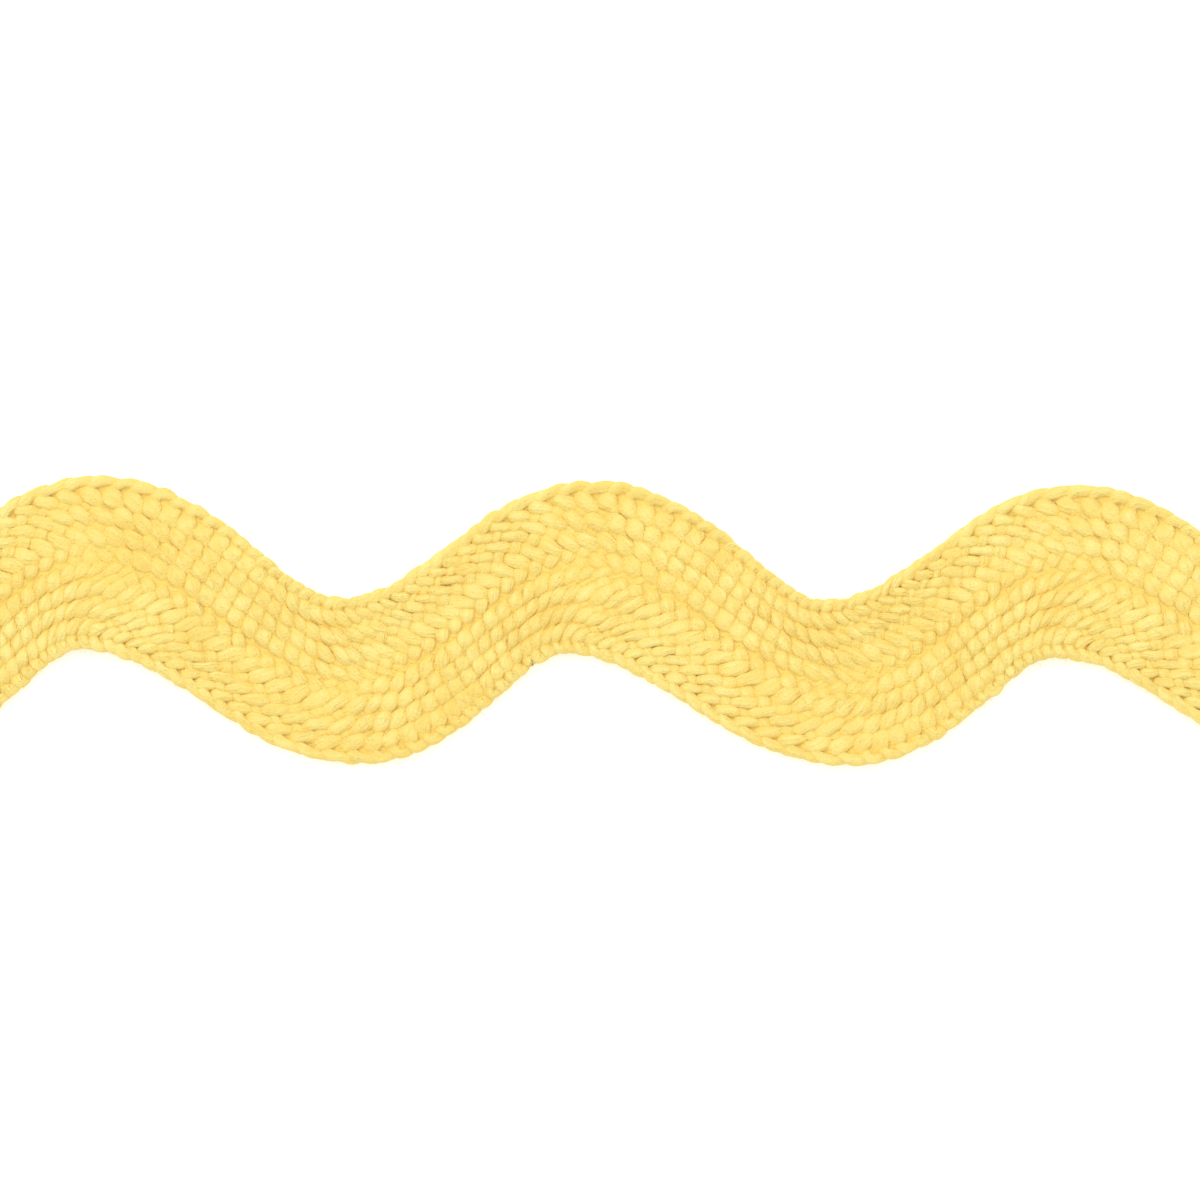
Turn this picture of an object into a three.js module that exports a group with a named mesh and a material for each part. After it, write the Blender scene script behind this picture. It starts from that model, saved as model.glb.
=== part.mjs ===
// A cut length of ric rac, a flat braid set in waves, lying flat with its best side up.
// Millimetres, +Z up. The length runs along X, the waves lie in the XY plane, and the
// origin is under the middle of the braid, on the surface that it lies on.
import * as THREE from "three";
import { mergeVertices } from "three/addons/utils/BufferGeometryUtils.js";

// The bends, from left to right. A crest is a bend towards +Y and a trough one towards -Y.
// upperX and upperY say where the +Y edge turns there, lowerX and lowerY where the -Y edge does.
// No two waves are quite alike. The first and the last bend are the two cut ends.
const BENDS = [
  { bend: "crest", upperX: -53.1, upperY: 7.95, lowerX: -54.6, lowerY: -1.65 },
  { bend: "trough", upperX: -40.5, upperY: 1.3, lowerX: -38.2, lowerY: -7.95 },
  { bend: "crest", upperX: -26.2, upperY: 7.95, lowerX: -27.6, lowerY: -1.7 },
  { bend: "trough", upperX: -13.5, upperY: 1.3, lowerX: -11.6, lowerY: -7.9 },
  { bend: "crest", upperX: 1.2, upperY: 7.85, lowerX: -1.0, lowerY: -1.8 },
  { bend: "trough", upperX: 13.35, upperY: 1.35, lowerX: 15.4, lowerY: -7.8 },
  { bend: "crest", upperX: 27.7, upperY: 7.8, lowerX: 26.1, lowerY: -1.8 },
  { bend: "trough", upperX: 40.4, upperY: 1.3, lowerX: 42.0, lowerY: -7.85 },
  { bend: "crest", upperX: 54.6, upperY: 7.85, lowerX: 52.9, lowerY: -1.85 },
];

// How an edge runs from its rounded outer turn to its tight inner turn. The short flank is
// steeper than the long one: roundness widens the outer turn, and draw pulls the inner turn tight.
const FLANKS = {
  short: { roundness: 1.02, draw: 0.23 },
  long: { roundness: 1.25, draw: -0.065 },
};

// Thickness of the braid
const CROWN_HEIGHT = 1.5; // on the ribs beside the middle
const SHOULDER_HEIGHT = 0.95; // on the ribs beside each selvage
const RIB_COUNT = 10; // across the band: four leaning each way and one along each selvage
const GROOVE_DEPTH = 0.24; // between two ribs

// The rounded selvage, in shares of the band's breadth and of the shoulder's height
const SHOULDER_INSET = 0.03;
const UNDERSIDE_INSET = 0.025;
const WAIST_SHARE = 0.5;

// Fineness of the solid
const STEPS_PER_FLANK = 11;
const STEPS_PER_RIB = 4;

const BRAID_COLOUR = 0xf8d470;
const BRAID_ROUGHNESS = 0.9;

// The share of a flank's drop that is done at a share of the way from its outer turn.
function dropShare(way, { roundness, draw }) {
  const smooth = (1 - Math.cos(Math.PI * way ** roundness)) / 2;
  return smooth - draw * way * Math.sin(Math.PI * way) ** 2;
}

// A point of the upper or the lower edge. The place counts bends: 2.5 is halfway from the
// third bend to the fourth.
function edgePoint(edge, place) {
  const index = Math.min(Math.floor(place), BENDS.length - 2);
  const way = place - index;
  const from = BENDS[index];
  const to = BENDS[index + 1];
  const falling = from.bend === "crest";
  const startsAtOuterTurn = falling === (edge === "upper");
  const flank = startsAtOuterTurn ? FLANKS.short : FLANKS.long;
  const share = startsAtOuterTurn
    ? dropShare(way, flank)
    : 1 - dropShare(1 - way, flank);
  const x = THREE.MathUtils.lerp(from[`${edge}X`], to[`${edge}X`], way);
  const y = THREE.MathUtils.lerp(from[`${edge}Y`], to[`${edge}Y`], share);
  return new THREE.Vector2(x, y);
}

// Height of the ribbed face at a share of the breadth between its two shoulders.
function ribbedHeight(share) {
  const fromMiddle = 2 * share - 1;
  const crown = (CROWN_HEIGHT - SHOULDER_HEIGHT) * (1 - fromMiddle ** 4);
  const rib = Math.abs(Math.sin(Math.PI * RIB_COUNT * share));
  return SHOULDER_HEIGHT + crown - GROOVE_DEPTH * (1 - rib);
}

// The closed outline of a cut across the band, from the underside's -Y corner up over the
// ribs: across is the share of the breadth from the lower edge, height is above the surface.
function sectionOutline() {
  const outline = [{ across: UNDERSIDE_INSET, height: 0 }];
  const waist = SHOULDER_HEIGHT * WAIST_SHARE;
  outline.push({ across: 0, height: waist });
  const steps = RIB_COUNT * STEPS_PER_RIB;
  for (let step = 0; step <= steps; step += 1) {
    const share = step / steps;
    const across = THREE.MathUtils.lerp(SHOULDER_INSET, 1 - SHOULDER_INSET, share);
    outline.push({ across, height: ribbedHeight(share) });
  }
  outline.push({ across: 1, height: waist });
  outline.push({ across: 1 - UNDERSIDE_INSET, height: 0 });
  return outline;
}

// The braid: the section carried along the waves, with a flat cut at each end.
function braidGeometry() {
  const outline = sectionOutline();
  const ring = outline.length;
  const stations = (BENDS.length - 1) * STEPS_PER_FLANK;
  const positions = [];
  for (let station = 0; station <= stations; station += 1) {
    const place = station / STEPS_PER_FLANK;
    const upper = edgePoint("upper", place);
    const lower = edgePoint("lower", place);
    for (const { across, height } of outline) {
      const point = new THREE.Vector2().lerpVectors(lower, upper, across);
      positions.push(point.x, point.y, height);
    }
  }

  const triangles = [];
  for (let station = 0; station < stations; station += 1) {
    for (let k = 0; k < ring; k += 1) {
      const next = (k + 1) % ring;
      const a = station * ring + k;
      const b = station * ring + next;
      const c = a + ring;
      const d = b + ring;
      triangles.push(a, c, b, b, c, d);
    }
  }
  const last = stations * ring;
  for (let k = 1; k < ring - 1; k += 1) {
    triangles.push(0, k, k + 1);
    triangles.push(last, last + k + 1, last + k);
  }

  const geometry = new THREE.BufferGeometry();
  geometry.setAttribute("position", new THREE.Float32BufferAttribute(positions, 3));
  geometry.setIndex(triangles);
  const merged = mergeVertices(geometry);
  merged.computeVertexNormals();
  return merged;
}

function braidMesh() {
  const cloth = new THREE.MeshStandardMaterial({
    color: BRAID_COLOUR,
    roughness: BRAID_ROUGHNESS,
    metalness: 0,
  });
  const mesh = new THREE.Mesh(braidGeometry(), cloth);
  mesh.name = "braid";
  return mesh;
}

const ricRac = new THREE.Group();
ricRac.add(braidMesh());

export default ricRac;
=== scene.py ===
"""A cut length of yellow ric rac, braided yarn by yarn and laid flat under a soft light.

The braid is a flat braid of one set of yarns. Every yarn runs to and fro between the two
selvages, over two and under one in the half of the band that it faces, and the other way
round in the other half. The band itself runs in waves between two edges.
"""

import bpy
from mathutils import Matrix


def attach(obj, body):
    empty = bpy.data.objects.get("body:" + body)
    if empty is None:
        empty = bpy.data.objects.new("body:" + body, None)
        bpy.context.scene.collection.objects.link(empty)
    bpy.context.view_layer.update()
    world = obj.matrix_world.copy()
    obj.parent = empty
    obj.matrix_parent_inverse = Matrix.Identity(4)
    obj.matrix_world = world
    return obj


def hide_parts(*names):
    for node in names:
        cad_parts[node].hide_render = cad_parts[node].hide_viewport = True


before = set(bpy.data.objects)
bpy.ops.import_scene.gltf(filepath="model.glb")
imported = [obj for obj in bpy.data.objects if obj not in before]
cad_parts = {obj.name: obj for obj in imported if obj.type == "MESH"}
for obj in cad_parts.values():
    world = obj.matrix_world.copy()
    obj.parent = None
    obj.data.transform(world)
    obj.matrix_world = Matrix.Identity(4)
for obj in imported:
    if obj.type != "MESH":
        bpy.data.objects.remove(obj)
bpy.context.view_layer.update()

from types import SimpleNamespace
from typing import NamedTuple

import bpy
import numpy as np
from bpy.props import FloatProperty, FloatVectorProperty, PointerProperty

bl_info = {
    "name": "Ric Rac Braid",
    "version": (1, 0, 0),
    "blender": (4, 5, 0),
    "location": "3D View > Sidebar > Ric Rac",
    "description": "Braids a cut length of ric rac yarn by yarn and lays it on a plain floor",
    "category": "Add Mesh",
}

MM = 0.001
NODE = "braid"


# The band and its waves


class Bend(NamedTuple):
    """Where the upper and the lower edge turn at one bend, in millimetres."""

    kind: str
    upper_x: float
    upper_y: float
    lower_x: float
    lower_y: float


BENDS = [
    Bend(kind="crest", upper_x=-53.1, upper_y=7.95, lower_x=-54.6, lower_y=-1.65),
    Bend(kind="trough", upper_x=-40.5, upper_y=1.3, lower_x=-38.2, lower_y=-7.95),
    Bend(kind="crest", upper_x=-26.2, upper_y=7.95, lower_x=-27.6, lower_y=-1.7),
    Bend(kind="trough", upper_x=-13.5, upper_y=1.3, lower_x=-11.6, lower_y=-7.9),
    Bend(kind="crest", upper_x=1.2, upper_y=7.85, lower_x=-1.0, lower_y=-1.8),
    Bend(kind="trough", upper_x=13.35, upper_y=1.35, lower_x=15.4, lower_y=-7.8),
    Bend(kind="crest", upper_x=27.7, upper_y=7.8, lower_x=26.1, lower_y=-1.8),
    Bend(kind="trough", upper_x=40.4, upper_y=1.3, lower_x=42.0, lower_y=-7.85),
    Bend(kind="crest", upper_x=54.6, upper_y=7.85, lower_x=52.9, lower_y=-1.85),
]
FLANKS = len(BENDS) - 1


class Flank(NamedTuple):
    """How an edge runs from its rounded outer turn to its tight inner turn."""

    roundness: float
    draw: float


SHORT_FLANK = Flank(roundness=1.02, draw=0.23)
LONG_FLANK = Flank(roundness=1.25, draw=-0.065)


class Lane(NamedTuple):
    """Where a crossing column lies across the band, in shares from the upper to the lower
    edge, and how far it runs ahead of its row, in floats."""

    column: float
    at_bend: float
    on_fall: float
    ahead_at_bend: float
    ahead_on_fall: float


LANES = [
    Lane(column=0.0, at_bend=0.033, on_fall=0.034, ahead_at_bend=0.00, ahead_on_fall=0.40),
    Lane(column=1.0, at_bend=0.035, on_fall=0.036, ahead_at_bend=0.08, ahead_on_fall=0.46),
    Lane(column=1.6, at_bend=0.086, on_fall=0.093, ahead_at_bend=0.18, ahead_on_fall=0.84),
    Lane(column=3.4, at_bend=0.163, on_fall=0.181, ahead_at_bend=0.22, ahead_on_fall=0.30),
    Lane(column=4.6, at_bend=0.208, on_fall=0.202, ahead_at_bend=0.42, ahead_on_fall=1.05),
    Lane(column=6.4, at_bend=0.276, on_fall=0.275, ahead_at_bend=0.46, ahead_on_fall=0.51),
    Lane(column=7.6, at_bend=0.320, on_fall=0.299, ahead_at_bend=0.66, ahead_on_fall=1.26),
    Lane(column=9.4, at_bend=0.387, on_fall=0.372, ahead_at_bend=0.70, ahead_on_fall=0.72),
    Lane(column=10.6, at_bend=0.430, on_fall=0.396, ahead_at_bend=0.86, ahead_on_fall=1.47),
    Lane(column=12.4, at_bend=0.500, on_fall=0.470, ahead_at_bend=0.90, ahead_on_fall=0.93),
    Lane(column=13.5, at_bend=0.539, on_fall=0.497, ahead_at_bend=0.88, ahead_on_fall=1.25),
    Lane(column=15.0, at_bend=0.593, on_fall=0.552, ahead_at_bend=0.76, ahead_on_fall=0.90),
    Lane(column=16.5, at_bend=0.647, on_fall=0.650, ahead_at_bend=0.68, ahead_on_fall=0.40),
    Lane(column=18.0, at_bend=0.703, on_fall=0.745, ahead_at_bend=0.56, ahead_on_fall=-0.05),
    Lane(column=19.5, at_bend=0.758, on_fall=0.802, ahead_at_bend=0.44, ahead_on_fall=-0.38),
    Lane(column=21.0, at_bend=0.814, on_fall=0.857, ahead_at_bend=0.32, ahead_on_fall=-0.62),
    Lane(column=22.5, at_bend=0.870, on_fall=0.905, ahead_at_bend=0.20, ahead_on_fall=-0.78),
    Lane(column=23.4, at_bend=0.910, on_fall=0.930, ahead_at_bend=0.13, ahead_on_fall=-0.84),
    Lane(column=24.0, at_bend=0.965, on_fall=0.964, ahead_at_bend=0.08, ahead_on_fall=-0.86),
    Lane(column=25.0, at_bend=0.967, on_fall=0.966, ahead_at_bend=0.00, ahead_on_fall=-0.90),
]


class Beat(NamedTuple):
    """A yarn's height at a column, counted from the selvage that it last turned round, from
    -1 for under to 1 for over: on the tight side of a flank and on its loose side."""

    column: float
    tight: float
    loose: float


def beats():
    """A yarn's heights from one selvage to the other: round the selvage and under the next
    yarn, over two columns and under one as far as the middle, then over one and under two."""
    table = [Beat(0, 0.4, 0.4), Beat(0.5, -0.2, -0.2), Beat(1, -0.9, -0.9), Beat(1.4, -0.8, -0.8)]
    for first, loose in ((2, 0.9), (5, 0.9), (8, 0.9), (11, -0.5)):
        table += [Beat(first, 0.25, loose), Beat(first + 0.5, 1.25, loose + 0.1)]
        table += [Beat(first + 1, 0.25, loose), Beat(first + 2, -1.4, -0.9)]
    for over, tight, loose in ((15, -0.8, 1.2), (18, -0.8, 1.1), (21, -0.8, 0.7), (24, 1.0, 1.0)):
        table += [Beat(over - 1.5, -1, -1), Beat(over - 1, -0.85, -0.85), Beat(over, tight, loose)]
        table += [Beat(over + 1, -0.85, -0.85)]
    table[-1] = Beat(YARNS, 0.4, 0.4)
    return table


YARNS = 25
FLOATS_PER_WAVE = 33
SAMPLES_PER_FLOAT = 10
YARN_SIDES = 12

EDGE_SAMPLES = 400
OUTER_STRETCH = 0.22
LEAN_SHARPNESS = 1.8
BEATS = beats()


def drop_share(way, flank):
    """Share of a flank's drop at a share of the way: half a cosine, its start widened by a
    power, less a hump that pulls the end in."""
    smooth = (1 - np.cos(np.pi * way**flank.roundness)) / 2
    return smooth - flank.draw * way * np.sin(np.pi * way) ** 2


def edge_flank(side, index):
    """Points along one edge from a bend to the next, evenly spaced in x."""
    start, end = BENDS[index], BENDS[index + 1]
    way = np.linspace(0, 1, EDGE_SAMPLES)
    from_outer_turn = (start.kind == "crest") == (side == "upper")
    if from_outer_turn:
        share = drop_share(way, SHORT_FLANK)
    else:
        share = 1 - drop_share(1 - way, LONG_FLANK)
    x0, x1 = getattr(start, side + "_x"), getattr(end, side + "_x")
    y0, y1 = getattr(start, side + "_y"), getattr(end, side + "_y")
    return np.stack([x0 + (x1 - x0) * way, y0 + (y1 - y0) * share], axis=1)


def edge_table(side):
    """An edge as places and points. A place counts bends, and along a flank it goes with arc
    length, stretched round the outer turns and crowded round the inner ones."""
    places, points = [], []
    outer_kind = "crest" if side == "upper" else "trough"
    for index in range(FLANKS):
        line = edge_flank(side, index)
        step = np.hypot(*np.diff(line, axis=0).T)
        arc = np.concatenate([[0], np.cumsum(step)])
        arc /= arc[-1]
        stretch = OUTER_STRETCH if BENDS[index].kind == outer_kind else -OUTER_STRETCH
        even = np.linspace(0, 1, EDGE_SAMPLES)
        shifted = even + stretch * np.sin(np.pi * even) / np.pi
        places.append(index + np.interp(arc, shifted, even))
        points.append(line)
    return np.concatenate(places), np.concatenate(points)


EDGES = {"upper": edge_table("upper"), "lower": edge_table("lower")}


def edge_point(side, place):
    """The point of an edge at each place, as an array of x and y."""
    places, points = EDGES[side]
    x = np.interp(place, places, points[:, 0])
    y = np.interp(place, places, points[:, 1])
    return np.stack([x, y], axis=-1)


def flank_mix(at_bend, on_fall, on_rise, slope):
    """A value drawn from its measure at the bends towards that of a falling flank, where the
    slope goes to 1, or of a rising one, where it goes to -1."""
    falling, rising = np.maximum(slope, 0), np.maximum(-slope, 0)
    return at_bend + falling * (on_fall - at_bend) + rising * (on_rise - at_bend)


def lean(place):
    """How far the band's halves are into a flank: 1 on a fall, -1 on a rise, and turning over
    quickly at each bend, as a steepened sine."""
    sharp = LEAN_SHARPNESS
    return np.tanh(sharp * np.sin(np.pi * place)) / np.tanh(sharp)


LANE_COLUMNS = np.array([lane.column for lane in LANES])
LANE_AT_BEND = np.array([lane.at_bend for lane in LANES])
LANE_ON_FALL = np.array([lane.on_fall for lane in LANES])
AHEAD_AT_BEND = np.array([lane.ahead_at_bend for lane in LANES])
AHEAD_ON_FALL = np.array([lane.ahead_on_fall for lane in LANES])


def lane_share(column, place):
    """Share of the breadth at which a crossing column lies. A rise is a fall upside down."""
    at_bend = np.interp(column, LANE_COLUMNS, LANE_AT_BEND)
    on_fall = np.interp(column, LANE_COLUMNS, LANE_ON_FALL)
    on_rise = 1 - np.interp(YARNS - column, LANE_COLUMNS, LANE_ON_FALL)
    return flank_mix(at_bend, on_fall, on_rise, lean(place))


def band_point(place, column):
    """A point of the band: straight across from the upper to the lower edge at its place."""
    share = lane_share(column, place)[..., None]
    return edge_point("upper", place) * (1 - share) + edge_point("lower", place) * share


# The yarns' paths

SPARE_ROWS = 2
SELVAGE_COLUMNS = 1.6
SELVAGE_ONSET = 8
SELVAGE_SLIDE = 0.12
PITCH_REACH = 0.25
PATH_PASSES = 5
HEIGHT_PASSES = 1
ROOM_PASSES = 4
FIRST_SEED = 100


class Stray(NamedTuple):
    """How a yarn strays: the wavelength in millimetres, and a share of the unevenness."""

    wavelength: float
    share: float


BREADTH_STRAY = Stray(wavelength=1.6, share=1.0)
HEIGHT_STRAY = Stray(wavelength=1.3, share=0.25)
SIDE_STRAY = Stray(wavelength=1.9, share=0.35)


def lead(column, place):
    """How far a column runs ahead of its row, in floats."""
    at_bend = np.interp(column, LANE_COLUMNS, AHEAD_AT_BEND)
    on_fall = np.interp(column, LANE_COLUMNS, AHEAD_ON_FALL)
    on_rise = np.interp(YARNS - column, LANE_COLUMNS, AHEAD_ON_FALL)
    return flank_mix(at_bend, on_fall, on_rise, np.sin(np.pi * place))


def place_of(row, column):
    """The place along the band of a row of floats at a column."""
    near = 2 * row / FLOATS_PER_WAVE
    return near + 2 * lead(column, near) / FLOATS_PER_WAVE


def height_share(column, tightness):
    """Height of a yarn's centre from -1 under to 1 over, at a column counted from the selvage
    that it last turned round: half cosines from beat to beat, mixed by tightness from 0 to 1."""
    columns = np.array([beat.column for beat in BEATS], dtype=float)
    tight = np.array([beat.tight for beat in BEATS])
    loose = np.array([beat.loose for beat in BEATS])
    base = np.clip(np.searchsorted(columns, column, side="right") - 1, 0, len(BEATS) - 2)
    way = (column - columns[base]) / (columns[base + 1] - columns[base])
    rise = (1 - np.cos(np.pi * np.clip(way, 0, 1))) / 2
    start = loose[base] + (tight[base] - loose[base]) * tightness
    end = loose[base + 1] + (tight[base + 1] - loose[base + 1]) * tightness
    return start + (end - start) * rise


def soften(values, passes):
    """Values smoothed along the path by a short binomial window, ends kept."""
    window = np.array([1, 4, 6, 4, 1]) / 16
    for _ in range(passes):
        padded = np.concatenate([values[:1], values[:1], values, values[-1:], values[-1:]])
        values = sum(w * padded[i : i + len(values)] for i, w in enumerate(window))
    return values


def wander(rng, distance, wavelength, count=6):
    """Smooth random unevenness along a path, about 1 high: a sum of sines."""
    total = np.zeros_like(distance)
    for _ in range(count):
        length = wavelength * rng.uniform(0.6, 2.2)
        total += np.sin(2 * np.pi * (distance / length + rng.uniform()))
    return total / np.sqrt(count / 2)


def stray(rng, distance, kind, sizes):
    """A yarn's straying along its path: a share of the unevenness times a smooth wander."""
    return sizes.unevenness * kind.share * wander(rng, distance, kind.wavelength)


class Path(NamedTuple):
    """A yarn's centreline, its half sizes and its length so far, in millimetres."""

    centre: np.ndarray
    half_width: np.ndarray
    half_height: np.ndarray
    length: np.ndarray


def yarn_path(number, sizes):
    """The way of one yarn: a zigzag in rows and columns, carried onto the waves. It is as
    broad as its room between its neighbours times a closeness, and it rises and dips by its
    beats."""
    rng = np.random.default_rng(FIRST_SEED + number)
    last_row = FLANKS / 2 * FLOATS_PER_WAVE
    row = np.arange(-SPARE_ROWS, last_row + SPARE_ROWS, 1 / SAMPLES_PER_FLOAT)
    turn = np.mod(row - number, YARNS)
    falling = turn < YARNS / 2
    column = np.where(falling, 2 * turn, 2 * (YARNS - turn))
    from_turn = np.minimum(column, YARNS - column)
    after_turn = np.where(falling == (column < YARNS / 2), 1, -1)
    slide = SELVAGE_SLIDE * np.clip(np.minimum(from_turn, 2 - from_turn), 0, 1) * after_turn
    place = place_of(row + slide, column)
    ends = rng.uniform(0, sizes.end_unevenness, 2) * 2 / FLOATS_PER_WAVE
    keep = (place > ends[0]) & (place < FLANKS - ends[1])
    row, column, falling, place = row[keep], column[keep], falling[keep], place[keep]

    flat = soften(band_point(place, column), PATH_PASSES)
    ahead = band_point(place_of(row + PITCH_REACH, column), column)
    behind = band_point(place_of(row - PITCH_REACH, column), column)
    pitch = (ahead - behind) / (2 * PITCH_REACH)
    along = np.gradient(flat, axis=0)
    along /= np.linalg.norm(along, axis=1)[:, None]
    side = np.stack([-along[:, 1], along[:, 0]], axis=1)
    distance = np.concatenate([[0], np.cumsum(np.hypot(*np.diff(flat, axis=0).T))])

    upper_half = np.where(column < YARNS / 2, 1, -1)
    tightness = 0.5 + 0.5 * upper_half * lean(place)
    since_turn = np.where(falling, column, YARNS - column)
    height = soften(height_share(since_turn, tightness), HEIGHT_PASSES)
    room = soften(np.abs(np.sum(pitch * side, axis=1)), ROOM_PASSES)
    room = np.clip(room, sizes.narrowest, sizes.widest)
    closeness = sizes.closeness + (sizes.tight_closeness - sizes.closeness) * tightness
    half_width = room / 2 * closeness
    half_width += np.maximum(sizes.plumpest - 2 * half_width, 0) / 2 * np.clip(height, 0, 1)
    from_edge = np.minimum(column, YARNS - column)
    round_turn = 1 / (1 + (from_edge / SELVAGE_COLUMNS) ** SELVAGE_ONSET)
    half_width += (sizes.selvage / 2 - half_width) * round_turn
    half_width *= 1 + stray(rng, distance, BREADTH_STRAY, sizes)
    half_height = np.clip(sizes.section_area / (np.pi * room / 2), 0, sizes.plumpest / 2)

    rise = height * sizes.lift + stray(rng, distance, HEIGHT_STRAY, sizes)
    drift = stray(rng, distance, SIDE_STRAY, sizes)
    centre = np.column_stack([flat + side * drift[:, None], rise + sizes.middle_height])
    return Path(centre, half_width, half_height, distance)


def tube_mesh(name, path):
    """A closed tube: an oval, level across the path, carried along it, with flat-cut ends.
    Its map runs along the yarn in millimetres and once round it."""
    tangent = np.gradient(path.centre, axis=0)
    tangent /= np.linalg.norm(tangent, axis=1)[:, None]
    side = np.column_stack([-tangent[:, 1], tangent[:, 0], np.zeros(len(tangent))])
    side /= np.linalg.norm(side, axis=1)[:, None]
    up = np.cross(tangent, side)
    angle = 2 * np.pi * np.arange(YARN_SIDES) / YARN_SIDES - np.pi / 2
    across = np.cos(angle)[None, :, None] * (side * path.half_width[:, None])[:, None, :]
    upward = np.sin(angle)[None, :, None] * (up * path.half_height[:, None])[:, None, :]
    rings = path.centre[:, None, :] + across + upward
    count = len(path.centre)
    points = rings.reshape(-1, 3)

    ring, step = np.meshgrid(np.arange(count - 1), np.arange(YARN_SIDES), indexing="ij")
    after = (step + 1) % YARN_SIDES
    a, b = ring * YARN_SIDES + step, ring * YARN_SIDES + after
    quads = np.stack([a, b, b + YARN_SIDES, a + YARN_SIDES], axis=-1).reshape(-1, 4)
    start_cap = np.arange(YARN_SIDES)[::-1]
    end_cap = (count - 1) * YARN_SIDES + np.arange(YARN_SIDES)

    u0, u1 = path.length[ring], path.length[ring + 1]
    v0, v1 = step / YARN_SIDES, (step + 1) / YARN_SIDES
    quad_uv = np.stack([[u0, v0], [u0, v1], [u1, v1], [u1, v0]], axis=0)
    quad_uv = quad_uv.transpose(2, 3, 0, 1).reshape(-1, 2)
    cap_v = np.arange(YARN_SIDES) / YARN_SIDES
    start_uv = np.column_stack([np.full(YARN_SIDES, path.length[0]), cap_v[::-1]])
    end_uv = np.column_stack([np.full(YARN_SIDES, path.length[-1]), cap_v])

    faces = quads.tolist() + [start_cap.tolist(), end_cap.tolist()]
    mesh = bpy.data.meshes.new(name)
    mesh.from_pydata((points * MM).tolist(), [], faces)
    uv_layer = mesh.uv_layers.new(name="along_yarn")
    uv = np.concatenate([quad_uv, start_uv, end_uv])
    uv_layer.data.foreach_set("uv", uv.ravel())
    mesh.polygons.foreach_set("use_smooth", np.ones(len(mesh.polygons), dtype=bool))
    mesh.update()
    return mesh


# The web is a thin sheet in the braid's middle that closes the gaps between the yarns; it stands
# for the shaded yarn deep down and carries painted shade.
WEB_INSET = 0.035
WEB_END = 0.02
WEB_THICKNESS = 0.24
WEB_LANES = 9
WEB_STEPS_PER_FLANK = 40


def web_mesh(name, sizes):
    """A thin closed slab between the selvages: a grid of places by shares of the breadth,
    once at its upper height and once at its lower."""
    high = sizes.middle_height + WEB_THICKNESS / 2
    low = sizes.middle_height - WEB_THICKNESS / 2
    stations = FLANKS * WEB_STEPS_PER_FLANK + 1
    shares = np.linspace(WEB_INSET, 1 - WEB_INSET, WEB_LANES)
    place = np.linspace(WEB_END, FLANKS - WEB_END, stations)
    upper, lower = edge_point("upper", place), edge_point("lower", place)
    flat = upper[:, None] * (1 - shares[None, :, None]) + lower[:, None] * shares[None, :, None]
    outline = np.concatenate([flat, flat[:, ::-1]], axis=1)
    height = np.concatenate([np.full(len(shares), high), np.full(len(shares), low)])
    height = np.broadcast_to(height, outline.shape[:2])
    points = np.concatenate([outline, height[..., None]], axis=2).reshape(-1, 3)
    ring = 2 * len(shares)
    station, step = np.meshgrid(np.arange(stations - 1), np.arange(ring), indexing="ij")
    after = (step + 1) % ring
    a, b = station * ring + step, station * ring + after
    quads = np.stack([a, b, b + ring, a + ring], axis=-1).reshape(-1, 4)
    start_cap = np.arange(ring)[::-1]
    end_cap = (stations - 1) * ring + np.arange(ring)
    faces = quads.tolist() + [start_cap.tolist(), end_cap.tolist()]
    mesh = bpy.data.meshes.new(name)
    mesh.from_pydata((points * MM).tolist(), [], faces)
    mesh.update()
    return mesh


FIBRES = 900
FIBRE_RINGS = 8
FIBRE_SIDES = 3
FIBRE_SEED = 7
FIBRE_END = 0.05
EDGE_FIBRES = 0.35
EDGE_SHARE = 0.015
FACE_SHARE = 0.06
SHORTEST_FIBRE = 0.35
LONGEST_FIBRE = 1.3
EDGE_LENGTH = 0.4
FIBRE_BEND = 0.5
FIBRE_SINK = 0.04
FIBRE_ARCH = 0.06
EDGE_LOWEST = -0.2
EDGE_HIGHEST = 0.3


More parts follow.
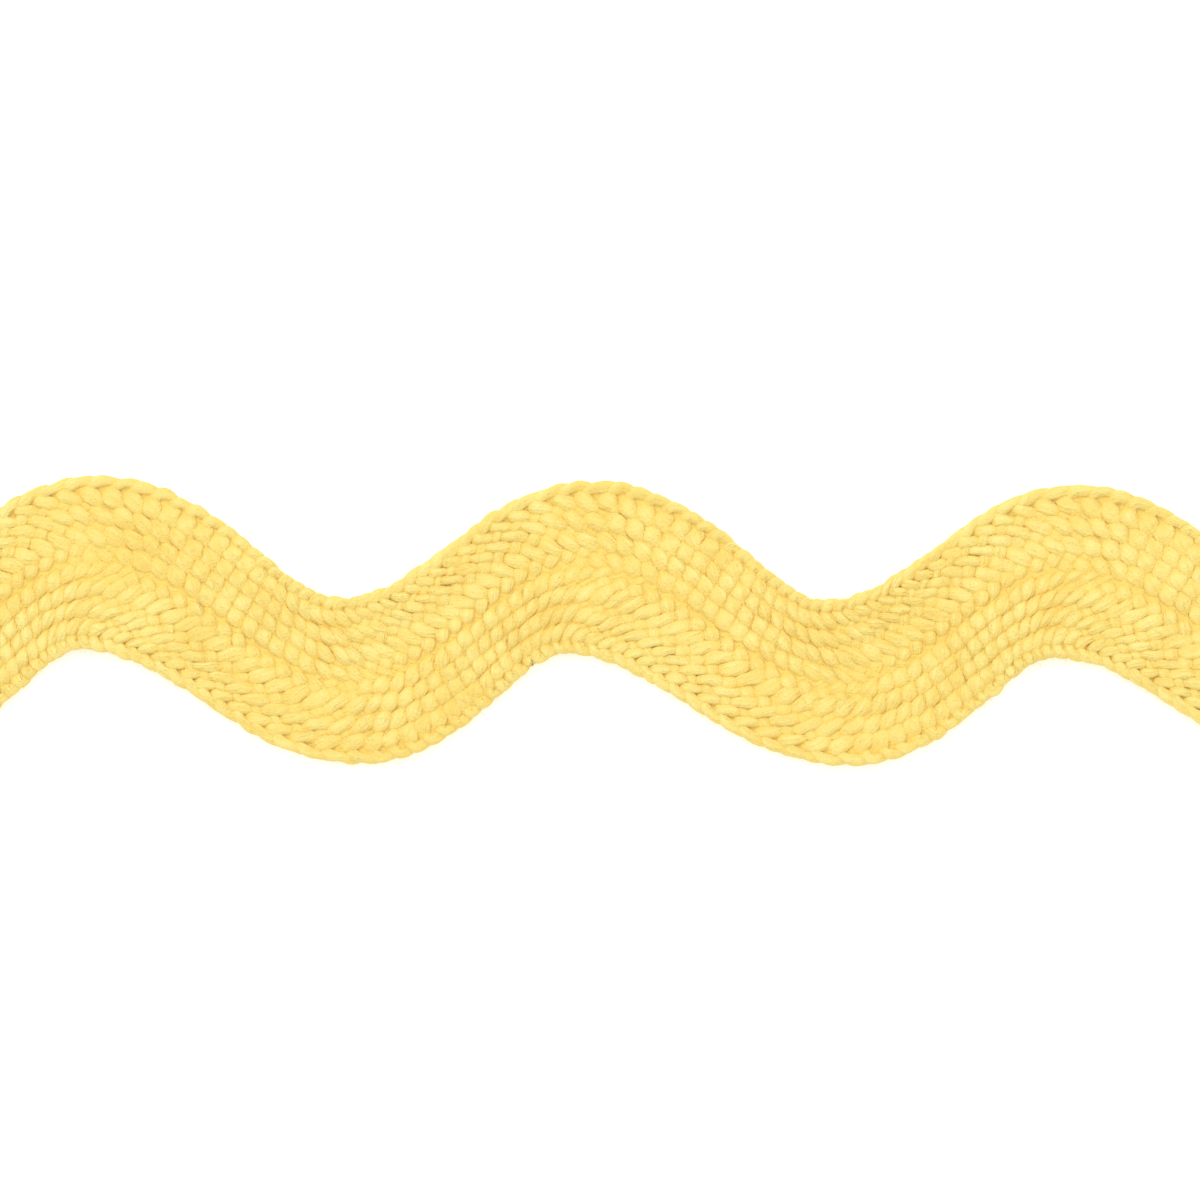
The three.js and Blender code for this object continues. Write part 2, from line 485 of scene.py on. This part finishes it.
def fibre_paths(sizes):
    """Loose fibres: short arcs that start on the braid's face or at its edges and curl a
    little, each a start, a heading, a length and a sideways bend, raised as half a sine."""
    rng = np.random.default_rng(FIBRE_SEED)
    place = rng.uniform(FIBRE_END, FLANKS - FIBRE_END, FIBRES)
    at_edge = rng.uniform(size=FIBRES) < EDGE_FIBRES
    lower = rng.uniform(size=FIBRES) < 0.5
    on_edge = np.where(lower, 1 - EDGE_SHARE, EDGE_SHARE)
    on_face = rng.uniform(FACE_SHARE, 1 - FACE_SHARE, FIBRES)
    share = np.where(at_edge, on_edge, on_face)
    start = edge_point("upper", place) * (1 - share[:, None])
    start += edge_point("lower", place) * share[:, None]
    turn = rng.uniform(0, 2 * np.pi, FIBRES)
    heading = np.stack([np.cos(turn), np.sin(turn)], axis=1)
    heading[at_edge, 1] = np.where(lower, -1, 1)[at_edge] * np.abs(heading[at_edge, 1])
    normal = np.stack([-heading[:, 1], heading[:, 0]], axis=1)
    length = rng.uniform(SHORTEST_FIBRE, LONGEST_FIBRE, FIBRES)
    length *= np.where(at_edge, EDGE_LENGTH, 1.0)
    bend = rng.uniform(-FIBRE_BEND, FIBRE_BEND, FIBRES) * length
    top = sizes.middle_height + sizes.lift + sizes.plumpest / 2
    edge_base = sizes.middle_height + rng.uniform(EDGE_LOWEST, EDGE_HIGHEST, FIBRES)
    base = np.where(at_edge, edge_base, top - FIBRE_SINK)
    way = np.linspace(0, 1, FIBRE_RINGS)[None, :, None]
    flat = start[:, None] + (length[:, None] * heading)[:, None] * way
    flat = flat + (bend[:, None] * normal)[:, None] * way**2
    rise = base[:, None] + FIBRE_ARCH * np.sin(np.pi * way[..., 0])
    rise = rise - FIBRE_SINK * way[..., 0]
    return np.concatenate([flat, rise[..., None]], axis=2)


def fibre_mesh(name, sizes):
    """All the loose fibres as one mesh of thin closed tubes, three-sided, along their arcs."""
    paths = fibre_paths(sizes)
    tangent = np.gradient(paths, axis=1)
    tangent /= np.linalg.norm(tangent, axis=2, keepdims=True)
    side = np.cross(tangent, [0.0, 0.0, 1.0])
    side /= np.linalg.norm(side, axis=2, keepdims=True)
    up = np.cross(side, tangent)
    angle = 2 * np.pi * np.arange(FIBRE_SIDES) / FIBRE_SIDES
    ring = np.cos(angle)[:, None] * side[:, :, None] + np.sin(angle)[:, None] * up[:, :, None]
    points = (paths[:, :, None] + ring * sizes.fibre / 2).reshape(-1, 3)

    fibre, station, step = np.meshgrid(
        np.arange(FIBRES), np.arange(FIBRE_RINGS - 1), np.arange(FIBRE_SIDES), indexing="ij"
    )
    first = (fibre * FIBRE_RINGS + station) * FIBRE_SIDES
    a, b = first + step, first + (step + 1) % FIBRE_SIDES
    quads = np.stack([a, a + FIBRE_SIDES, b + FIBRE_SIDES, b], axis=-1).reshape(-1, 4)
    start = np.arange(FIBRES)[:, None] * FIBRE_RINGS * FIBRE_SIDES
    start_caps = start + np.arange(FIBRE_SIDES)
    end_caps = start + (FIBRE_RINGS - 1) * FIBRE_SIDES + np.arange(FIBRE_SIDES)[::-1]
    faces = quads.tolist() + start_caps.tolist() + end_caps.tolist()
    mesh = bpy.data.meshes.new(name)
    mesh.from_pydata((points * MM).tolist(), [], faces)
    mesh.polygons.foreach_set("use_smooth", np.ones(len(mesh.polygons), dtype=bool))
    mesh.update()
    return mesh


# Finishes


def add_node(tree, kind, **values):
    """A shader node with its settings and its unlinked inputs filled in."""
    node = tree.nodes.new(kind)
    for name, value in values.items():
        if hasattr(node, name):
            setattr(node, name, value)
        else:
            node.inputs[name.replace("_", " ")].default_value = value
    return node


def math_node(tree, operation, first, second=None):
    """One step of arithmetic in a material. Each term is a socket or a number."""
    node = add_node(tree, "ShaderNodeMath", operation=operation)
    for index, term in enumerate((first, second)):
        if isinstance(term, (int, float)):
            node.inputs[index].default_value = term
        elif term is not None:
            tree.links.new(term, node.inputs[index])
    return node.outputs[0]


def layer_sum(tree, layers):
    """The sum of several noises, each a node and its share."""
    total = None
    for layer, share in layers:
        part = math_node(tree, "MULTIPLY", layer.outputs["Fac"], share)
        total = part if total is None else math_node(tree, "ADD", total, part)
    return total


def filament_vector(tree, tightness, twist, stretch):
    """Coordinates in which a pattern runs along the filaments: round the yarn on a circle,
    turned a little with the length, and stretched out along it."""
    uv = add_node(tree, "ShaderNodeUVMap", uv_map="along_yarn")
    parts = add_node(tree, "ShaderNodeSeparateXYZ")
    tree.links.new(uv.outputs["UV"], parts.inputs[0])
    turned = math_node(tree, "MULTIPLY", parts.outputs["X"], twist)
    angle = math_node(tree, "MULTIPLY", parts.outputs["Y"], 2 * np.pi)
    angle = math_node(tree, "ADD", angle, turned)
    cosine = math_node(tree, "MULTIPLY", math_node(tree, "COSINE", angle), tightness)
    sine = math_node(tree, "MULTIPLY", math_node(tree, "SINE", angle), tightness)
    along = math_node(tree, "MULTIPLY", parts.outputs["X"], stretch)
    vector = add_node(tree, "ShaderNodeCombineXYZ")
    for socket, value in zip(vector.inputs, (cosine, sine, along)):
        tree.links.new(value, socket)
    return vector.outputs[0]


def yarn_material(finish):
    """Soft matt yarn: fine filaments that lighten, darken and score it along its length, and
    painted shade that darkens it low down between the yarns.
    """
    material = bpy.data.materials.new("braided_yarn")
    material.use_nodes = True
    tree = material.node_tree
    shader = tree.nodes["Principled BSDF"]
    shader.inputs["Roughness"].default_value = finish.roughness
    shader.inputs["Specular IOR Level"].default_value = finish.specular
    shader.inputs["Sheen Weight"].default_value = finish.sheen
    shader.inputs["Sheen Roughness"].default_value = 0.5

    fine = add_node(tree, "ShaderNodeTexNoise", Scale=1.0, Detail=2.0, Roughness=0.6)
    tree.links.new(filament_vector(tree, 2.6, 0.5, 0.7), fine.inputs["Vector"])
    strands = add_node(tree, "ShaderNodeTexNoise", Scale=1.0, Detail=1.0, Roughness=0.5)
    tree.links.new(filament_vector(tree, 1.2, 0.5, 0.5), strands.inputs["Vector"])
    place = add_node(tree, "ShaderNodeTexCoord")
    patch = add_node(tree, "ShaderNodeTexNoise", Scale=380.0, Detail=3.0, Roughness=0.6)
    tree.links.new(place.outputs["Object"], patch.inputs["Vector"])

    streak = layer_sum(tree, ((fine, 0.3), (strands, 0.35), (patch, 0.35)))
    ramp = add_node(tree, "ShaderNodeValToRGB")
    ramp.color_ramp.elements[0].position = 0.38
    ramp.color_ramp.elements[0].color = (*finish.shade_colour, 1)
    ramp.color_ramp.elements[1].position = 0.60
    ramp.color_ramp.elements[1].color = (*finish.yarn_colour, 1)
    tree.links.new(streak, ramp.inputs["Fac"])

    # Painted shade: below the top height the colour is drawn towards a darker, warmer shade colour,
    # full at the lowest height, as if shade fell down between the yarns.
    height = add_node(tree, "ShaderNodeSeparateXYZ")
    tree.links.new(place.outputs["Object"], height.inputs[0])
    depth = add_node(tree, "ShaderNodeMapRange", interpolation_type="SMOOTHSTEP")
    depth.inputs["From Min"].default_value = finish.crevice_shade_height
    depth.inputs["From Max"].default_value = finish.top_height
    tree.links.new(height.outputs["Z"], depth.inputs["Value"])
    mix = add_node(tree, "ShaderNodeMix", data_type="RGBA")
    tree.links.new(depth.outputs["Result"], mix.inputs["Factor"])
    colour_inputs = [socket for socket in mix.inputs if socket.type == "RGBA"]
    colour_output = [socket for socket in mix.outputs if socket.type == "RGBA"][0]
    colour_inputs[0].default_value = (*finish.crevice_shade_colour, 1)
    tree.links.new(ramp.outputs["Color"], colour_inputs[1])
    tree.links.new(colour_output, shader.inputs["Base Color"])

    fuzz = add_node(tree, "ShaderNodeTexNoise", Scale=7000.0, Detail=1.0, Roughness=0.6)
    tree.links.new(place.outputs["Object"], fuzz.inputs["Vector"])
    relief = layer_sum(tree, ((fine, 1.0), (strands, 1.4), (fuzz, 1.1)))
    bump = add_node(tree, "ShaderNodeBump", Strength=finish.filament_bump, Distance=0.08 * MM)
    tree.links.new(relief, bump.inputs["Height"])
    tree.links.new(bump.outputs["Normal"], shader.inputs["Normal"])
    return material


def middle_web_shade_material(finish):
    """Painted shade for the middle web: the shaded filaments down between the yarns, in the painted
    shade colour, mottled a little at random.
    """
    material = bpy.data.materials.new("painted_shade_between")
    material.use_nodes = True
    tree = material.node_tree
    shader = tree.nodes["Principled BSDF"]
    shader.inputs["Roughness"].default_value = 0.95
    place = add_node(tree, "ShaderNodeTexCoord")
    noise = add_node(tree, "ShaderNodeTexNoise", Scale=2600.0, Detail=2.0, Roughness=0.6)
    tree.links.new(place.outputs["Object"], noise.inputs["Vector"])
    # Painted shade: from nine tenths of the painted shade colour up to the full painted shade
    # colour.
    ramp = add_node(tree, "ShaderNodeValToRGB")
    ramp.color_ramp.elements[0].position = 0.35
    ramp.color_ramp.elements[0].color = (*(0.9 * np.array(finish.crevice_shade_colour)), 1)
    ramp.color_ramp.elements[1].position = 0.7
    ramp.color_ramp.elements[1].color = (*finish.crevice_shade_colour, 1)
    tree.links.new(noise.outputs["Fac"], ramp.inputs["Fac"])
    tree.links.new(ramp.outputs["Color"], shader.inputs["Base Color"])
    return material


def fibre_material(finish):
    """Single loose fibres, plain and pale."""
    material = bpy.data.materials.new("loose_fibre")
    material.use_nodes = True
    shader = material.node_tree.nodes["Principled BSDF"]
    shader.inputs["Base Color"].default_value = (*finish.yarn_colour, 1)
    shader.inputs["Roughness"].default_value = finish.roughness
    shader.inputs["Specular IOR Level"].default_value = finish.specular
    return material


def floor_material(stage):
    """Plain pale floor."""
    material = bpy.data.materials.new("pale_floor")
    material.use_nodes = True
    shader = material.node_tree.nodes["Principled BSDF"]
    shader.inputs["Base Color"].default_value = (*stage.floor_colour, 1)
    shader.inputs["Roughness"].default_value = 0.9
    shader.inputs["Specular IOR Level"].default_value = 0.1
    shader.inputs["Emission Color"].default_value = (1, 1, 1, 1)
    shader.inputs["Emission Strength"].default_value = stage.floor_glow
    return material


def in_millimetres(settings):
    """The settings as plain values: lengths and areas in millimetres, the rest unchanged."""
    powers = {"LENGTH": 1, "AREA": 2}
    values = {}
    for name, kind in settings.bl_rna.properties.items():
        if name not in ("rna_type", "name"):
            values[name] = getattr(settings, name) / MM ** powers.get(kind.unit, 0)
    return SimpleNamespace(**values)


def add_piece(name, mesh, material):
    """A mesh as an object of the part, at the origin, riding on its body."""
    piece = bpy.data.objects.new(name, mesh)
    bpy.context.scene.collection.objects.link(piece)
    mesh.materials.append(material)
    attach(piece, "root")
    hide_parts(NODE)
    return piece


# Settings


class BraidSizes(bpy.types.PropertyGroup):
    """Sizes of the yarns and of the braid's thickness."""

    widest: FloatProperty(
        name="Widest Yarn", description="Breadth of a yarn where it has room",
        default=0.72 * MM, unit="LENGTH", precision=5,
    )
    narrowest: FloatProperty(
        name="Narrowest Yarn", description="Breadth of a yarn where it is crowded",
        default=0.36 * MM, unit="LENGTH", precision=5,
    )
    plumpest: FloatProperty(
        name="Plumpest Yarn", description="Breadth and height of a crowded float",
        default=0.60 * MM, unit="LENGTH", precision=5,
    )
    selvage: FloatProperty(
        name="Selvage Yarn", description="Breadth of a yarn that turns at the edge",
        default=0.62 * MM, unit="LENGTH", precision=5,
    )
    section_area: FloatProperty(
        name="Yarn Section", description="Area of a cut across one yarn",
        default=0.23 * MM**2, unit="AREA", precision=6,
    )
    closeness: FloatProperty(
        name="Closeness", description="Breadth of a loose yarn as a share of its room", default=1.2
    )
    tight_closeness: FloatProperty(
        name="Tight Closeness",
        description="Breadth of a tight yarn as a share of its room",
        default=1.85,
    )
    lift: FloatProperty(
        name="Lift", description="Height of an upper yarn's centre over the middle",
        default=0.21 * MM, unit="LENGTH", precision=5,
    )
    fibre: FloatProperty(
        name="Loose Fibre", description="Breadth of a loose fibre",
        default=0.022 * MM, unit="LENGTH", precision=5,
    )
    middle_height: FloatProperty(
        name="Middle Height", description="Height of the braid's middle",
        default=0.66 * MM, unit="LENGTH", precision=5,
    )
    unevenness: FloatProperty(
        name="Unevenness", description="How much the yarns stray in place and size",
        default=0.09, min=0, max=1, subtype="FACTOR",
    )
    end_unevenness: FloatProperty(
        name="Cut Unevenness", description="How far a cut yarn stops short, in floats", default=0.5
    )


class YarnFinish(bpy.types.PropertyGroup):
    """Colours and surface of the yarn."""

    yarn_colour: FloatVectorProperty(
        name="Yarn Colour", subtype="COLOR", size=3, min=0, max=1,
        description="Colour of the yarn in full light", default=(0.90, 0.755, 0.255),
    )
    shade_colour: FloatVectorProperty(
        name="Streak Colour", subtype="COLOR", size=3, min=0, max=1,
        description="Colour of the darker filaments", default=(0.85, 0.61, 0.145),
    )
    # Painted shade: the colour painted low down between the yarns, where shade falls.
    crevice_shade_colour: FloatVectorProperty(
        name="Deep Colour", subtype="COLOR", size=3, min=0, max=1,
        description="Colour down between the yarns",
        default=(0.90, 0.655, 0.155),
    )
    # Painted shade: the height at which the painted shade colour is full; it fades out by the top
    # height.
    crevice_shade_height: FloatProperty(
        name="Deep Height", description="Height of the deep colour",
        default=0.78 * MM, unit="LENGTH", precision=5,
    )
    top_height: FloatProperty(
        name="Top Height", description="Height of the full colour",
        default=1.12 * MM, unit="LENGTH", precision=5,
    )
    roughness: FloatProperty(
        name="Roughness", description="How matt the yarn is",
        default=0.85, min=0, max=1, subtype="FACTOR",
    )
    specular: FloatProperty(
        name="Shine", description="Strength of the plain highlight",
        default=0.25, min=0, max=1, subtype="FACTOR",
    )
    sheen: FloatProperty(
        name="Sheen", description="Soft light caught by loose fibres",
        default=0.15, min=0, max=1, subtype="FACTOR",
    )
    filament_bump: FloatProperty(
        name="Filament Relief", description="Strength of the filaments' relief", default=1.0
    )


class StageSettings(bpy.types.PropertyGroup):
    """Floor, lights and camera."""

    floor_colour: FloatVectorProperty(
        name="Floor Colour", subtype="COLOR", size=3, min=0, max=1,
        description="Colour of the floor", default=(0.98, 0.98, 0.98),
    )
    floor_glow: FloatProperty(
        name="Floor Glow", description="Light that the floor gives off", default=0.2
    )
    sky_strength: FloatProperty(
        name="Surround", description="Strength of the even light all round", default=1.04
    )
    lamp_power: FloatProperty(
        name="Lamp Power", description="Power of the large soft lamp", default=1.05, subtype="POWER"
    )
    view_width: FloatProperty(
        name="View Width", description="Width of what the camera sees",
        default=66.2 * MM, unit="LENGTH", precision=5,
    )
    view_x: FloatProperty(
        name="View Middle X", description="What the camera looks at",
        default=0.98 * MM, unit="LENGTH", precision=5,
    )
    view_y: FloatProperty(
        name="View Middle Y", description="What the camera looks at",
        default=1.25 * MM, unit="LENGTH", precision=5,
    )
    view_roll: FloatProperty(
        name="View Roll", description="Turn of the camera about its own line",
        default=np.radians(0.40), subtype="ANGLE",
    )
    view_distance: FloatProperty(
        name="View Distance", description="Height of the camera",
        default=700.0 * MM, unit="LENGTH", precision=5,
    )


# Operators


class RICRAC_OT_yarns(bpy.types.Operator):
    """Braid the yarns"""

    bl_idname = "ricrac.yarns"
    bl_label = "Braid the Yarns"

    def execute(self, context):
        sizes = in_millimetres(context.scene.ricrac_sizes)
        material = yarn_material(context.scene.ricrac_finish)
        for number in range(YARNS):
            name = f"yarn_{number + 1:02d}"
            add_piece(name, tube_mesh(name, yarn_path(number, sizes)), material)
        return {"FINISHED"}


class RICRAC_OT_fibres(bpy.types.Operator):
    """Lay the loose fibres on the braid"""

    bl_idname = "ricrac.fibres"
    bl_label = "Lay the Loose Fibres"

    def execute(self, context):
        mesh = fibre_mesh("loose_fibres", in_millimetres(context.scene.ricrac_sizes))
        add_piece("loose_fibres", mesh, fibre_material(context.scene.ricrac_finish))
        return {"FINISHED"}


# Fills the gaps between the yarns with the middle sheet, coloured in painted shade.
class RICRAC_OT_web(bpy.types.Operator):
    bl_idname = "ricrac.web"
    bl_label = "Fill In Between"

    def execute(self, context):
        mesh = web_mesh("painted_shade_web", in_millimetres(context.scene.ricrac_sizes))
        web = add_piece("painted_shade_web", mesh, middle_web_shade_material(context.scene.ricrac_finish))
        return {"FINISHED"}


FLOOR_REACH = 3.0
FLOOR_CORNERS = ((-1, -1), (1, -1), (1, 1), (-1, 1))
LAMP_SIZE = (0.5, 0.3)
LAMP_PLACE = (-0.1, 0.35, 0.45)
SENSOR_WIDTH = 36.0
CAMERA_CLIP = (0.01, 20)


class RICRAC_OT_stage(bpy.types.Operator):
    """Set the floor, the lights and the camera"""

    bl_idname = "ricrac.stage"
    bl_label = "Set the Stage"

    def execute(self, context):
        stage = context.scene.ricrac_stage
        corners = [(x * FLOOR_REACH, y * FLOOR_REACH, 0) for x, y in FLOOR_CORNERS]
        mesh = bpy.data.meshes.new("floor")
        mesh.from_pydata(corners, [], [(0, 1, 2, 3)])
        mesh.materials.append(floor_material(stage))
        floor = bpy.data.objects.new("floor", mesh)
        context.scene.collection.objects.link(floor)

        world = bpy.data.worlds.new("surround")
        world.use_nodes = True
        background = world.node_tree.nodes["Background"]
        background.inputs["Color"].default_value = (1, 1, 1, 1)
        background.inputs["Strength"].default_value = stage.sky_strength
        context.scene.world = world

        lamp_data = bpy.data.lights.new("soft_lamp", "AREA")
        lamp_data.shape = "RECTANGLE"
        lamp_data.size, lamp_data.size_y = LAMP_SIZE
        lamp_data.energy = stage.lamp_power
        lamp = bpy.data.objects.new("soft_lamp", lamp_data)
        lamp.location = LAMP_PLACE
        x, y, z = LAMP_PLACE
        lamp.rotation_euler = (np.arctan2(np.hypot(x, y), z), 0, np.arctan2(-y, -x) - np.pi / 2)
        context.scene.collection.objects.link(lamp)

        camera_data = bpy.data.cameras.new("camera")
        camera_data.sensor_width = SENSOR_WIDTH
        camera_data.lens = SENSOR_WIDTH * stage.view_distance / stage.view_width
        camera_data.clip_start, camera_data.clip_end = CAMERA_CLIP
        camera = bpy.data.objects.new("camera", camera_data)
        camera.location = (stage.view_x, stage.view_y, stage.view_distance)
        camera.rotation_euler = (0, 0, stage.view_roll)
        context.scene.collection.objects.link(camera)
        context.scene.camera = camera
        context.scene.view_settings.view_transform = "Standard"
        return {"FINISHED"}


class RICRAC_PT_panel(bpy.types.Panel):
    """Settings and steps of the ric rac"""

    bl_label = "Ric Rac"
    bl_idname = "RICRAC_PT_panel"
    bl_space_type = "VIEW_3D"
    bl_region_type = "UI"
    bl_category = "Ric Rac"

    def draw(self, context):
        layout = self.layout
        for settings in ("ricrac_sizes", "ricrac_finish", "ricrac_stage"):
            group = getattr(context.scene, settings)
            column = layout.column(align=True)
            for name in group.bl_rna.properties.keys():
                if name not in ("rna_type", "name"):
                    column.prop(group, name)
        for step in STEPS:
            layout.operator(step.bl_idname)


STEPS = (RICRAC_OT_yarns, RICRAC_OT_fibres, RICRAC_OT_web, RICRAC_OT_stage)
CLASSES = (BraidSizes, YarnFinish, StageSettings, *STEPS, RICRAC_PT_panel)


def register():
    for cls in CLASSES:
        bpy.utils.register_class(cls)
    bpy.types.Scene.ricrac_sizes = PointerProperty(type=BraidSizes)
    bpy.types.Scene.ricrac_finish = PointerProperty(type=YarnFinish)
    bpy.types.Scene.ricrac_stage = PointerProperty(type=StageSettings)


def unregister():
    del bpy.types.Scene.ricrac_stage
    del bpy.types.Scene.ricrac_finish
    del bpy.types.Scene.ricrac_sizes
    for cls in reversed(CLASSES):
        bpy.utils.unregister_class(cls)


def main():
    register()
    bpy.ops.ricrac.yarns()
    bpy.ops.ricrac.fibres()
    bpy.ops.ricrac.web()
    bpy.ops.ricrac.stage()


if __name__ == "__main__":
    main()
